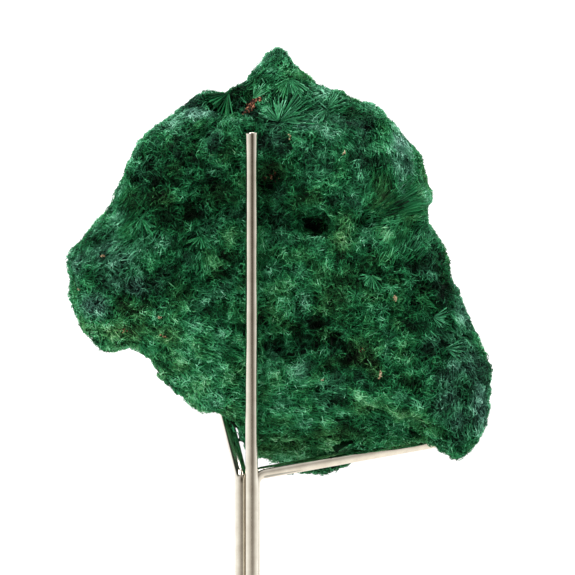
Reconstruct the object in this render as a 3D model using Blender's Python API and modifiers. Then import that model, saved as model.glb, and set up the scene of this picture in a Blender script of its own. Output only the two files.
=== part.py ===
"""A hand-size specimen of fibrous malachite on a stand of three steel rods.

Lengths at the top are in millimetres. The camera of the photograph looks along +Y,
with +X to its right. The stand's underside is at Z = 0, below the three rods.
"""

import math

import bmesh
import bpy
import numpy as np
from mathutils import Vector, noise

MM = 0.001
GAP = 0.3  # left between pieces that touch
WELD = 0.01  # points closer than this are one

# Stand
ROD_RADIUS = 1.5
ROD_SIDES_PER_QUARTER = 4
BUNDLE_TURN = math.radians(21)  # the bundle seen a little from one side
BUNDLE_RADIUS = (2 * ROD_RADIUS + 0.25) / math.sqrt(3)
BEND_RADIUS = 2.8
BEND_STEPS = 4
ROD_FOOT_Z = 3.3
SUPPORT_TOP_Z = 123.5
SUPPORT_SIDES = 24
SUPPORT_CHAMFER = 0.25
CHAMFERED_ANGLE = math.radians(60)  # only the rims of the ends are as sharp as this
LEFT_BEND_Z = 41.0
LEFT_REST = (-10.0, 30.0, 71.5)
LEFT_TIP = (-11.0, 33.5, 81.0)
RIGHT_BEND_Z = 41.2
RIGHT_REST = (47.5, 24.0, 48.9)
RIGHT_TIP = (48.8, 25.2, 58.5)

BASE_RADIUS = 40.0
BASE_EDGE_HEIGHT = 5.0
BASE_CHAMFER = 1.2
BASE_TOP_Z = 7.0
HUB_RADIUS = 7.5
HUB_TOP_Z = 13.5
HUB_FILLET = 1.5
BORE_RADIUS = BUNDLE_RADIUS + ROD_RADIUS + GAP
BORE_FLOOR_Z = ROD_FOOT_Z - GAP
TURNED_STEPS = 40

# Specimen: its rim as X, depth Y and Z, clockwise from the horn at the top
STONE_RIM = (
    (9.2, 19, 144.2), (10.4, 19, 141.0), (13.1, 18, 139.1), (16.4, 18, 135.6),
    (19.8, 18, 134.5), (23.7, 18, 133.8), (26.6, 17, 131.2), (30.3, 17, 131.0),
    (33.9, 18, 127.6), (37.0, 19, 123.9), (41.4, 20, 118.8), (42.8, 20, 115.2),
    (43.4, 19, 111.6), (45.0, 19, 108.0), (44.2, 18, 106.4), (42.5, 17, 104.4),
    (43.1, 16, 102.4), (46.9, 16, 97.5), (48.8, 16, 93.1), (49.4, 16, 88.3),
    (52.2, 15, 81.7), (54.5, 14, 76.6), (57.3, 12, 70.8), (59.2, 10, 66.2),
    (58.5, 9, 62.1), (58.7, 9, 57.7), (57.9, 9, 52.9), (55.9, 9, 48.8),
    (53.1, 9, 45.8), (49.6, 10, 43.2), (46.7, 13, 46.2), (44.2, 17, 48.0),
    (41.5, 21, 49.2), (36.5, 19, 48.3), (30.5, 16, 47.3), (26.2, 21, 45.3),
    (25.0, 23, 43.3), (22.5, 23, 42.0), (18.9, 24, 40.4), (13.3, 24, 41.0),
    (9.2, 23, 40.5), (7.7, 21, 43.5), (1.9, 16, 44.9), (-1.2, 13, 46.1),
    (-2.4, 12, 49.5), (-2.8, 12, 52.6), (-6.5, 12, 55.8), (-13.6, 12, 56.8),
    (-16.5, 12, 59.4), (-22.2, 13, 64.8), (-21.3, 14, 66.4), (-26.8, 15, 71.4),
    (-30.4, 15, 71.6), (-34.9, 15, 69.9), (-36.6, 15, 70.8), (-38.3, 15, 72.9), (-41.3, 16, 76.6),
    (-44.3, 17, 83.9), (-44.0, 17, 87.7), (-44.9, 17, 93.5), (-40.6, 17, 98.3),
    (-35.1, 18, 104.2), (-32.8, 18, 107.6), (-31.5, 18, 112.2), (-29.8, 18, 116.8),
    (-26.9, 18, 121.9), (-21.4, 19, 127.1), (-18.5, 20, 129.6), (-14.9, 20, 132.0),
    (-11.2, 20, 134.2), (-5.8, 20, 133.5), (-1.0, 20, 136.1), (1.4, 20, 139.9),
    (4.2, 20, 143.5), (6.6, 20, 144.6),
)
STONE_CENTRE = (9.9, 90.4)  # X and Z
STONE_FINENESS = 7
STONE_TRIANGLES = 7800
RIM_REACH = 13  # how closely the notches of the rim stay at the rim
RIM_SOFTNESS = 0.3  # angle over which they fade further in
RIM_SAMPLES = 9
RIM_CALM = 0.7  # share by which the lumps are lower at the rim
CALM_REACH = 24  # how closely that stays at the rim
FRONT_Y = 2.5
FRONT_ROUNDING = 0.62
BACK_Y = 36.0
BACK_RISE = 0.26  # the back stands out further towards the top
BACK_DRIFT = 0.12  # and towards the right
BACK_ROUNDING = 0.8
ROD_VALLEY_SLOPE = 0.35
FORM_FALL = 1.5  # how abruptly a lump or a pit ends at its edge
FACING_GAIN = 1.6  # how soon the front's and the back's forms are at full height past the rim

# Lumps, ledges and pits of the front: X, Z, half width, half height, tilt in degrees, height
FRONT_FORMS = (
    (-18, 111, 15, 15, 20, 6.0),  # upper left lobe
    (-32, 89, 12, 13, 0, 5.0),  # lobe at the left edge
    (22, 115, 15, 10, -10, 6.0),  # upper right lobe
    (36, 107, 11, 4, 18, 3.0),  # columns that run to the right edge
    (25, 92, 19, 8, 5, 4.0),  # plateau under the pit
    (12, 57, 24, 7, 6, 4.5),  # lower bulge
    (29, 62, 10, 4, -22, 2.5),  # ledge in the lower right
    (51, 57, 8, 12, 10, 6.0),  # lobe that hangs at the lower right
    (-12, 76, 14, 8, -30, 3.5),  # lower left shoulder
    (7.5, 126, 8, 6, 0, 1.5),  # large spray
    (27, 127, 5, 4, 0, 2.0),  # dark knob near the top edge
    (1.9, 127.5, 2.6, 2.6, 0, 2.2),  # nub above the support rod
    (-7.6, 120.6, 2.8, 2.8, 0, 2.4),  # nub left of the support rod
    (-9, 108, 4, 9, -20, -4.5),  # valley beside the upper left lobe
    (5, 104, 9, 3.5, -10, -3.0),  # valley under the upper lobes
    (-6, 130, 6, 3.5, 15, -3.0),  # hollow with the fan of blades
    (0.7, 131.2, 3, 3, 40, -4.0),  # cavity with iron oxide
    (6.1, 112.2, 3.4, 2.8, 0, -4.5),  # dark cavity right of the support rod
    (16.0, 101.3, 2.9, 2.3, 0, -8.0),  # round pit
    (28.3, 102.3, 1.6, 1.6, 0, -3.5),  # small pit
    (12.5, 71.5, 10, 5, -12, -5.0),  # dark hollow
    (16.5, 77.6, 2.4, 1.6, -15, -5.0),  # hole above the dark hollow
    (21.0, 73.9, 1.6, 1.6, 0, -3.5),  # hole beside it
    (5.4, 72.0, 2.2, 1.8, 0, -3.5),  # hole at its left end
    (-35, 83, 6, 5, 0, -1.5),  # dark dip in the left lobe
    (29.2, 55.5, 2.2, 2.0, 0, -2.5),  # dip under the ledge
    (40.0, 50.0, 3.0, 2.5, 0, -2.5),  # dip beside the hanging lobe
    (44, 72, 5, 12, 15, -1.5),  # dark band above the hanging lobe
)
# Lumps and hollows of the side that the photograph doesn't show: X, Z, radius, height
BACK_FORMS = (
    (20, 112, 16, 6.0), (-8, 116, 13, 5.0), (-24, 98, 12, 4.5), (2, 92, 12, 4.0),
    (34, 92, 13, 5.5), (14, 74, 12, 5.0), (40, 70, 10, 4.0), (6, 128, 8, 3.5),
    (10, 101, 4, -6.0), (-14, 84, 5, -4.5), (28, 80, 4, -4.5), (31, 122, 4, -4.0),
)
# Lumps all over: size and height of each layer
LUMP_LAYERS = ((10.0, 2.6), (5.0, 1.7))
LUMP_MIDDLE = 0.5  # distance to a lump's middle, in sizes, where its slope crosses the plain surface
LUMP_EDGE = 1.0  # and past which it sinks no more
GRIT_SIZE = 2.4
GRIT_HEIGHT = 0.6
SEED_SHIFT = Vector((31.7, 12.3, 54.1))


def clear_scene():
    for thing in list(bpy.data.objects):
        bpy.data.objects.remove(thing)


def new_collection(name):
    collection = bpy.data.collections.new(name)
    bpy.context.scene.collection.children.link(collection)
    return collection


def new_material(name, colour, roughness, metallic):
    material = bpy.data.materials.new(name)
    material.use_nodes = True
    shader = material.node_tree.nodes["Principled BSDF"]
    shader.inputs["Base Color"].default_value = (*colour, 1)
    shader.inputs["Roughness"].default_value = roughness
    shader.inputs["Metallic"].default_value = metallic
    return material


def put(thing, collection, material=None):
    """Links an object to its collection alone, with its material."""
    for other in list(thing.users_collection):
        other.objects.unlink(thing)
    collection.objects.link(thing)
    if material:
        thing.data.materials.clear()
        thing.data.materials.append(material)
    return thing


def bundle_place(angle):
    """X and Y of a rod of the bundle, by its direction from the bundle's axis."""
    turned = angle + BUNDLE_TURN
    return BUNDLE_RADIUS * math.cos(turned), BUNDLE_RADIUS * math.sin(turned)


def rounded_route(corners, radius):
    """Points along straight runs between the corners, with an arc at each inner corner."""
    corners = [Vector(corner) for corner in corners]
    points = [corners[0]]
    for before, corner, after in zip(corners, corners[1:], corners[2:]):
        back = (before - corner).normalized()
        onward = (after - corner).normalized()
        half = back.angle(onward) / 2
        centre = corner + (back + onward).normalized() * radius / math.sin(half)
        start = (corner + back * radius / math.tan(half) - centre).normalized()
        end = (corner + onward * radius / math.tan(half) - centre).normalized()
        for step in range(BEND_STEPS + 1):
            points.append(centre + start.slerp(end, step / BEND_STEPS) * radius)
    points.append(corners[-1])
    return points


def arm_route(angle, bend_z, rest, tip):
    """The stem up from the foot, out to the place that carries the stone, and up to the tip."""
    x, y = bundle_place(angle)
    return rounded_route([(x, y, ROD_FOOT_Z), (x, y, bend_z), rest, tip], BEND_RADIUS)


def make_tube(name, points, radius):
    curve = bpy.data.curves.new(name, "CURVE")
    curve.dimensions = "3D"
    curve.bevel_depth = radius * MM
    curve.bevel_resolution = 2 * ROD_SIDES_PER_QUARTER - 2
    curve.use_fill_caps = True
    spline = curve.splines.new("POLY")
    spline.points.add(len(points) - 1)
    for spot, point in zip(spline.points, points):
        spot.co = (*(point * MM), 1)
    spline.use_smooth = True
    return bpy.data.objects.new(name, curve)


def as_mesh(tube, collection):
    """The tube as a welded mesh object, in place of the curve."""
    collection.objects.link(tube)
    graph = bpy.context.evaluated_depsgraph_get()
    mesh = bpy.data.meshes.new_from_object(tube.evaluated_get(graph))
    name = tube.name
    solid = bpy.data.objects.new(name + "_solid", mesh)
    solid.matrix_world = tube.matrix_world
    bpy.data.objects.remove(tube)
    bm = bmesh.new()
    bm.from_mesh(mesh)
    bmesh.ops.remove_doubles(bm, verts=bm.verts, dist=WELD * MM)
    bmesh.ops.recalc_face_normals(bm, faces=bm.faces)
    bm.to_mesh(mesh)
    bm.free()
    collection.objects.link(solid)
    return solid


def make_support_rod():
    x, y = bundle_place(math.radians(-90))
    bpy.ops.mesh.primitive_cylinder_add(
        vertices=SUPPORT_SIDES,
        radius=ROD_RADIUS * MM,
        depth=(SUPPORT_TOP_Z - ROD_FOOT_Z) * MM,
        location=(x * MM, y * MM, (SUPPORT_TOP_Z + ROD_FOOT_Z) / 2 * MM),
    )
    rod = bpy.context.object
    rod.name = "support_rod"
    for face in rod.data.polygons:
        face.use_smooth = len(face.vertices) == 4
    chamfer = rod.modifiers.new("Chamfer", "BEVEL")
    chamfer.width = SUPPORT_CHAMFER * MM
    chamfer.segments = 1
    chamfer.limit_method = "ANGLE"
    chamfer.angle_limit = CHAMFERED_ANGLE
    return rod


def make_base():
    """A turned disc with a hub, bored for the three rods. The profile runs from the bore outwards."""
    profile = [
        (0, BORE_FLOOR_Z),
        (BORE_RADIUS, BORE_FLOOR_Z),
        (BORE_RADIUS, HUB_TOP_Z),
        (HUB_RADIUS - HUB_FILLET / 2, HUB_TOP_Z),
        (HUB_RADIUS, HUB_TOP_Z - HUB_FILLET / 2),
        (HUB_RADIUS, BASE_TOP_Z + HUB_FILLET),
        (HUB_RADIUS + HUB_FILLET, BASE_TOP_Z),
        (BASE_RADIUS - BASE_CHAMFER, BASE_EDGE_HEIGHT),
        (BASE_RADIUS, BASE_EDGE_HEIGHT - BASE_CHAMFER),
        (BASE_RADIUS, BASE_CHAMFER / 2),
        (BASE_RADIUS - BASE_CHAMFER / 2, 0),
        (0, 0),
    ]
    mesh = bpy.data.meshes.new("base")
    bm = bmesh.new()
    spots = [bm.verts.new((r * MM, 0, z * MM)) for r, z in profile]
    for one, other in zip(spots, spots[1:]):
        bm.edges.new((one, other))
    bm.to_mesh(mesh)
    bm.free()
    base = bpy.data.objects.new("base", mesh)
    turn = base.modifiers.new("Turn", "SCREW")
    turn.steps = TURNED_STEPS
    turn.render_steps = TURNED_STEPS
    turn.use_merge_vertices = True
    turn.merge_threshold = WELD * MM
    return base


def rim_at(angle):
    """The rim's distance from the stone's centre and its depth, at each angle in the front view."""
    rim = np.array(STONE_RIM, float)
    across = rim[:, 0] - STONE_CENTRE[0]
    up = rim[:, 2] - STONE_CENTRE[1]
    rim_angle = np.arctan2(up, across)
    full_turn = 2 * math.pi
    distance = np.interp(angle, rim_angle, np.hypot(across, up), period=full_turn)
    depth = np.interp(angle, rim_angle, rim[:, 1], period=full_turn)
    return distance, depth


def rounded_stone(directions):
    """Puts unit directions on a smooth stone that has the rim, a flattish front and a humped back."""
    angle = np.arctan2(directions[:, 2], directions[:, 0])
    distance, rim_y = rim_at(angle)
    sideways = np.hypot(directions[:, 0], directions[:, 2])
    facing = np.abs(directions[:, 1])
    front = directions[:, 1] < 0
    rounding = np.where(front, FRONT_ROUNDING, BACK_ROUNDING)
    spread = np.linspace(-RIM_SOFTNESS, RIM_SOFTNESS, RIM_SAMPLES)
    inner = np.mean([rim_at(angle + offset)[0] for offset in spread], 0)
    at_rim = sideways ** RIM_REACH
    reach = sideways ** rounding * (distance * at_rim + inner * (1 - at_rim))
    x = STONE_CENTRE[0] + reach * np.cos(angle)
    z = STONE_CENTRE[1] + reach * np.sin(angle)
    back_y = BACK_Y + BACK_RISE * (z - STONE_CENTRE[1]) + BACK_DRIFT * (x - STONE_CENTRE[0])
    face_y = np.where(front, FRONT_Y, back_y)
    y = rim_y + (face_y - rim_y) * facing ** rounding
    return np.stack([x, y, z], 1)


def add_face_forms(points, normals):
    """Raises the front's and the back's own lumps, and sinks their pits."""
    x, z = points[:, 0], points[:, 2]
    forward = np.zeros(len(points))
    for form_x, form_z, width, height, tilt, rise in FRONT_FORMS:
        turn = math.radians(tilt)
        along = (x - form_x) * math.cos(turn) + (z - form_z) * math.sin(turn)
        across = (z - form_z) * math.cos(turn) - (x - form_x) * math.sin(turn)
        away = (along / width) ** 2 + (across / height) ** 2
        forward += rise * np.exp(-(away ** FORM_FALL))
    backward = np.zeros(len(points))
    for form_x, form_z, radius, rise in BACK_FORMS:
        away = ((x - form_x) ** 2 + (z - form_z) ** 2) / radius ** 2
        backward += rise * np.exp(-(away ** FORM_FALL))
    points[:, 1] -= forward * np.clip(-normals[:, 1] * FACING_GAIN, 0, 1)
    points[:, 1] += backward * np.clip(normals[:, 1] * FACING_GAIN, 0, 1)


def lump_height(point):
    """Height of the rounded lumps and the grit at a point, about zero on average."""
    height = 0
    for size, rise in LUMP_LAYERS:
        nearest = noise.voronoi(point / size + SEED_SHIFT)[0][0]
        height += rise * (LUMP_MIDDLE - min(nearest, LUMP_EDGE))
    return height + GRIT_HEIGHT * noise.noise(point / GRIT_SIZE + SEED_SHIFT)


def keep_rod_valley(points):
    """Keeps the front behind the support rod, with lumps standing out only beside it."""
    rod_x, rod_y = bundle_place(math.radians(-90))
    aside = np.maximum(np.abs(points[:, 0] - rod_x) - ROD_RADIUS, 0)
    nearest_y = rod_y + ROD_RADIUS + GAP - ROD_VALLEY_SLOPE * aside
    points[:, 1] = np.maximum(points[:, 1], nearest_y)


def vertex_array(mesh, name):
    values = np.empty(len(mesh.vertices) * 3)
    mesh.vertices.foreach_get(name, values)
    return values.reshape(-1, 3)


def make_stone(cutters):
    mesh = bpy.data.meshes.new("malachite")
    bm = bmesh.new()
    bmesh.ops.create_icosphere(bm, subdivisions=STONE_FINENESS, radius=1)
    bm.to_mesh(mesh)
    bm.free()

    def place(points):
        mesh.vertices.foreach_set("co", points.ravel())
        mesh.update()
        return vertex_array(mesh, "normal")

    directions = vertex_array(mesh, "co")
    calm = 1 - RIM_CALM * np.hypot(directions[:, 0], directions[:, 2]) ** CALM_REACH
    points = rounded_stone(directions)
    add_face_forms(points, place(points))
    normals = place(points)
    heights = np.array([lump_height(Vector(point)) for point in points])
    points += normals * (heights * calm)[:, None]
    keep_rod_valley(points)
    place(points * MM)

    stone = bpy.data.objects.new("malachite", mesh)
    fewer = stone.modifiers.new("Fewer faces", "DECIMATE")
    fewer.ratio = STONE_TRIANGLES / len(mesh.polygons)
    for cutter in cutters:
        room = stone.modifiers.new("Room for " + cutter.name, "BOOLEAN")
        room.operation = "DIFFERENCE"
        room.object = cutter
    return stone


def main():
    clear_scene()
    parts = new_collection("malachite_specimen")
    helpers = new_collection("cutters")
    steel = new_material("steel_rod", (0.62, 0.60, 0.57), 0.25, 1.0)
    foot_steel = new_material("base_steel", (0.50, 0.50, 0.50), 0.35, 1.0)
    green = new_material("fibrous_malachite", (0.012, 0.11, 0.045), 0.6, 0.0)

    left = arm_route(math.radians(150), LEFT_BEND_Z, LEFT_REST, LEFT_TIP)
    right = arm_route(math.radians(30), RIGHT_BEND_Z, RIGHT_REST, RIGHT_TIP)
    x, y = bundle_place(math.radians(-90))
    upright = [Vector((x, y, ROD_FOOT_Z)), Vector((x, y, SUPPORT_TOP_Z + GAP))]

    put(make_support_rod(), parts, steel)
    put(make_tube("left_arm", left, ROD_RADIUS), parts, steel)
    put(make_tube("right_arm", right, ROD_RADIUS), parts, steel)
    put(make_base(), parts, foot_steel)

    cutters = []
    for name, route in (("support_room", upright), ("left_room", left), ("right_room", right)):
        cutter = as_mesh(make_tube(name, route, ROD_RADIUS + GAP), helpers)
        cutter.hide_render = True
        cutter.display_type = "WIRE"
        cutters.append(cutter)
    put(make_stone(cutters), parts, green)


main()
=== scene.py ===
import math

import bmesh
import bpy
import numpy as np
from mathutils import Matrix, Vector, noise
from mathutils.bvhtree import BVHTree


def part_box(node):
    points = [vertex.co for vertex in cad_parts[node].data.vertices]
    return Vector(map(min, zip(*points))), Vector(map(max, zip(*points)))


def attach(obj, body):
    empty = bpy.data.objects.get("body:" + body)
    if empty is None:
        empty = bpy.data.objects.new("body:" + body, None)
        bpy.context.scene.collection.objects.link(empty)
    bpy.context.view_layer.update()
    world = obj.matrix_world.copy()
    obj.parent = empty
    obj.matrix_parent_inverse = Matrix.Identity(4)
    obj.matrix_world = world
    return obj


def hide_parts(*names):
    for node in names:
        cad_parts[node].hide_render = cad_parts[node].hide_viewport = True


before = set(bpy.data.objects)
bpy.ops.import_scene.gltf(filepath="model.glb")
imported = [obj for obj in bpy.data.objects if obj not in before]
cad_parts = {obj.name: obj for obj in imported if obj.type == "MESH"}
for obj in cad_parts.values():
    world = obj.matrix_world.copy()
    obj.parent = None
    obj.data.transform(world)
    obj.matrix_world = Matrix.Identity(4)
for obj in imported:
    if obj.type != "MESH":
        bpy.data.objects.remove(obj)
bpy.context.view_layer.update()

mm = 0.001
body = "root"
seed = 27
draw = np.random.default_rng(seed)
noise.seed_set(seed)  # without it, each run would grow another stone


# shader helpers
class Value:
    # a socket that takes part in plain arithmetic

    def __init__(self, finish, socket):
        self.finish = finish
        self.socket = socket

    def maths(self, operation, *terms):
        made = self.finish.node("Math", {"operation": operation}, dict(enumerate(terms)))
        return Value(self.finish, made.outputs[0])

    def __add__(self, other):
        return self.maths("ADD", self, other)

    def __radd__(self, other):
        return self.maths("ADD", other, self)

    def __sub__(self, other):
        return self.maths("SUBTRACT", self, other)

    def __rsub__(self, other):
        return self.maths("SUBTRACT", other, self)

    def __mul__(self, other):
        return self.maths("MULTIPLY", self, other)

    def __rmul__(self, other):
        return self.maths("MULTIPLY", other, self)

    def clamped(self):
        return self.maths("MINIMUM", self.maths("MAXIMUM", self, 0.0), 1.0)


class Finish:
    # a material and the nodes that lead to its shader

    def __init__(self, name, fixed):
        self.material = bpy.data.materials.new(name)
        self.material.use_nodes = True
        self.tree = self.material.node_tree
        self.shader = self.tree.nodes["Principled BSDF"]
        for label, amount in fixed.items():
            self.shader.inputs[label].default_value = amount

    def node(self, kind, settings=None, inputs=None):
        made = self.tree.nodes.new("ShaderNode" + kind)
        for key, setting in (settings or {}).items():
            if key == "stops":
                self.setStops(made.color_ramp, setting)
            else:
                setattr(made, key, setting)
        for key, given in (inputs or {}).items():
            self.feed(made.inputs[key], given)
        return made

    def setStops(self, ramp, stops):
        while len(ramp.elements) < len(stops):
            ramp.elements.new(1.0)
        for element, (place, colour) in zip(ramp.elements, stops):
            element.position = place
            element.color = (*colour, 1)

    def feed(self, socket, given):
        if isinstance(given, Value):
            given = given.socket
        if isinstance(given, bpy.types.NodeSocket):
            self.tree.links.new(given, socket)
        else:
            socket.default_value = given

    def value(self, kind, settings=None, inputs=None, output=0):
        return Value(self, self.node(kind, settings, inputs).outputs[output])

    def spot(self, scale=(1, 1, 1)):
        place = self.node("TexCoord").outputs["Object"]
        return self.node("Mapping", None, {"Vector": place, "Scale": scale}).outputs[0]

    def grain(self, scale, detail=3.0, stretch=(1, 1, 1)):
        inputs = {"Vector": self.spot(stretch), "Scale": scale, "Detail": detail}
        return self.value("TexNoise", None, inputs)

    def ramp(self, factor, stops):
        return self.node("ValToRGB", {"stops": stops}, {"Fac": factor}).outputs["Color"]

    def mix(self, factor, one, other):
        inputs = {"Factor": factor, "A": one, "B": other}
        made = self.tree.nodes.new("ShaderNodeMix")
        made.data_type = "RGBA"
        for label, index in (("Factor", 0), ("A", 6), ("B", 7)):
            self.feed(made.inputs[index], inputs[label])
        return made.outputs[2]

    def bump(self, height, strength, distance):
        inputs = {"Height": height, "Strength": strength, "Distance": distance}
        self.feed(self.shader.inputs["Normal"], self.node("Bump", None, inputs).outputs[0])


class Room(Finish):
    # the world's nodes, made in the same way

    def __init__(self, world):
        self.tree = world.node_tree
        self.shader = self.tree.nodes["Background"]

    def strengths(self, share, stops):
        return self.ramp(share, [(place, (much, much, much)) for place, much in stops])


# finishes
greenFinish = {
    "shader": {"Specular IOR Level": 0.06, "Roughness": 0.45},
    "green": (  # tone of a fibre, from the dark gaps to the lit tips
        (0.00, (0.0008, 0.0050, 0.0018)),
        (0.25, (0.0025, 0.0340, 0.0100)),
        (0.50, (0.0100, 0.1350, 0.0420)),
        (0.75, (0.0480, 0.3300, 0.1250)),
        (1.00, (0.2400, 0.7200, 0.4200)),
    ),
    "grey": (  # the same tones where the fibres turn bluish grey, partly their own tint and partly painted sheen
        (0.00, (0.0040, 0.0080, 0.0080)),
        (0.25, (0.0170, 0.0370, 0.0330)),
        (0.50, (0.0540, 0.1330, 0.1080)),
        (0.75, (0.1600, 0.3700, 0.2900)),
        (1.00, (0.5200, 0.8300, 0.7300)),
    ),
    "brown": (  # and where they are stained, from crust to olive
        (0.00, (0.0030, 0.0026, 0.0016)),
        (0.25, (0.0150, 0.0210, 0.0080)),
        (0.50, (0.0480, 0.1050, 0.0280)),
        (0.75, (0.1300, 0.3000, 0.0800)),
        (1.00, (0.4500, 0.6200, 0.2800)),
    ),
    "clean": 0.5, "reach": 0.48,  # place of clean green on the palette, and how far grey and brown go
    "tones": (0.01, 0.96),  # the palette's darkest and brightest places
    "smooth": 0.42, "rougher": 0.25,  # roughness of clean fibres, and what the grey tint with its painted sheen, or the stain, adds
}


def makeGreen():
    look = greenFinish
    fin = Finish("fibrousMalachite", look["shader"])
    tones = fin.node("UVMap", {"uv_map": "OFBake"}).outputs[0]
    split = fin.node("SeparateXYZ", None, {0: tones})
    tone, place = split.outputs[0], Value(fin, split.outputs[1])
    tintAndSheen = ((place - look["clean"]) * 2).clamped()
    stain = ((look["clean"] - place) * 2).clamped()
    colour = fin.mix(tintAndSheen, fin.ramp(tone, look["green"]), fin.ramp(tone, look["grey"]))
    colour = fin.mix(stain, colour, fin.ramp(tone, look["brown"]))
    fin.feed(fin.shader.inputs["Base Color"], colour)
    rough = look["smooth"] + tintAndSheen * look["rougher"] + stain * look["rougher"]
    fin.feed(fin.shader.inputs["Roughness"], rough)
    return fin.material


def onPalette(tone, tintAndSheen):
    # place of a tone and a tint, from -1 brown stain over 0 green to 1 grey with painted sheen, on the
    # palette
    look = greenFinish
    return np.clip(tone, *look["tones"]), look["clean"] + look["reach"] * np.clip(tintAndSheen, -1, 1)


oxideFinish = {
    "shader": {"Specular IOR Level": 0.3, "Roughness": 0.7},
    "stops": (
        (0.42, (0.012, 0.003, 0.002)),
        (0.50, (0.070, 0.018, 0.007)),
        (0.57, (0.190, 0.058, 0.022)),
        (0.66, (0.640, 0.330, 0.190)),
    ),
}
tanFinish = {
    "shader": {"Specular IOR Level": 0.3, "Roughness": 0.65},
    "stops": (
        (0.35, (0.100, 0.060, 0.025)),
        (0.50, (0.290, 0.200, 0.100)),
        (0.66, (0.600, 0.500, 0.350)),
    ),
}
crumbFinish = {"spots": 2200.0, "bumps": 2500.0, "bumpStrength": 0.5, "bumpHeight": 0.0001}


def makeCrumbFinish(name, given):
    fin = Finish(name, given["shader"])
    look = crumbFinish
    spots = fin.grain(look["spots"])
    fin.feed(fin.shader.inputs["Base Color"], fin.ramp(spots, given["stops"]))
    fin.bump(fin.grain(look["bumps"]), look["bumpStrength"], look["bumpHeight"])
    return fin.material


steelFinish = {
    "shader": {"Metallic": 1.0, "Roughness": 0.16},
    "stops": ((0.3, (0.70, 0.65, 0.57)), (0.7, (0.82, 0.78, 0.70))),
    "cloud": 300.0,
    "drawn": (1.0, 1.0, 0.02),  # drawing lines run along the wire
    "lines": 2600.0, "lineDetail": 2.0, "lineStrength": 0.04, "lineHeight": 0.00002,
    "smooth": 0.07, "rougher": 0.09,
}


def makeRodSteel():
    look = steelFinish
    fin = Finish("drawnSteel", look["shader"])
    fin.feed(fin.shader.inputs["Base Color"], fin.ramp(fin.grain(look["cloud"]), look["stops"]))
    lines = fin.grain(look["lines"], look["lineDetail"], look["drawn"])
    fin.feed(fin.shader.inputs["Roughness"], look["smooth"] + lines * look["rougher"])
    fin.bump(lines, look["lineStrength"], look["lineHeight"])
    return fin.material


turnedFinish = {
    "shader": {"Metallic": 1.0, "Roughness": 0.3},
    "stops": ((0.3, (0.52, 0.52, 0.51)), (0.7, (0.66, 0.65, 0.63))),
    "cloud": 120.0,
    "rings": 1800.0, "ringStrength": 0.35, "ringHeight": 0.00005,
    "smooth": 0.22, "rougher": 0.16,
}


def makeTurnedSteel():
    look = turnedFinish
    fin = Finish("turnedSteel", look["shader"])
    flat = fin.node("VectorMath", {"operation": "MULTIPLY"}, {0: fin.spot(), 1: (1, 1, 0)})
    away = fin.value("VectorMath", {"operation": "LENGTH"}, {0: flat.outputs[0]}, 1)
    across = fin.node("CombineXYZ", None, {0: away}).outputs[0]
    rings = fin.value("TexNoise", None, {"Vector": across, "Scale": look["rings"]})
    fin.feed(fin.shader.inputs["Base Color"], fin.ramp(fin.grain(look["cloud"]), look["stops"]))
    fin.feed(fin.shader.inputs["Roughness"], look["smooth"] + rings * look["rougher"])
    fin.bump(rings, look["ringStrength"], look["ringHeight"])
    return fin.material


green = makeGreen()
oxide = makeCrumbFinish("ironOxide", oxideFinish)
tan = makeCrumbFinish("tanGrain", tanFinish)
rodSteel = makeRodSteel()
footSteel = makeTurnedSteel()
print("finishes ready")


# putting pieces in
def addPiece(name, mesh, material, node, smooth=True):
    piece = bpy.data.objects.new(name, mesh)
    bpy.context.scene.collection.objects.link(piece)
    mesh.materials.append(material)
    mesh.polygons.foreach_set("use_smooth", [smooth] * len(mesh.polygons))
    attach(piece, body)
    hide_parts(node)


def meshFrom(bm, name):
    bmesh.ops.recalc_face_normals(bm, faces=bm.faces)
    mesh = bpy.data.meshes.new(name)
    bm.to_mesh(mesh)
    bm.free()
    return mesh
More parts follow.
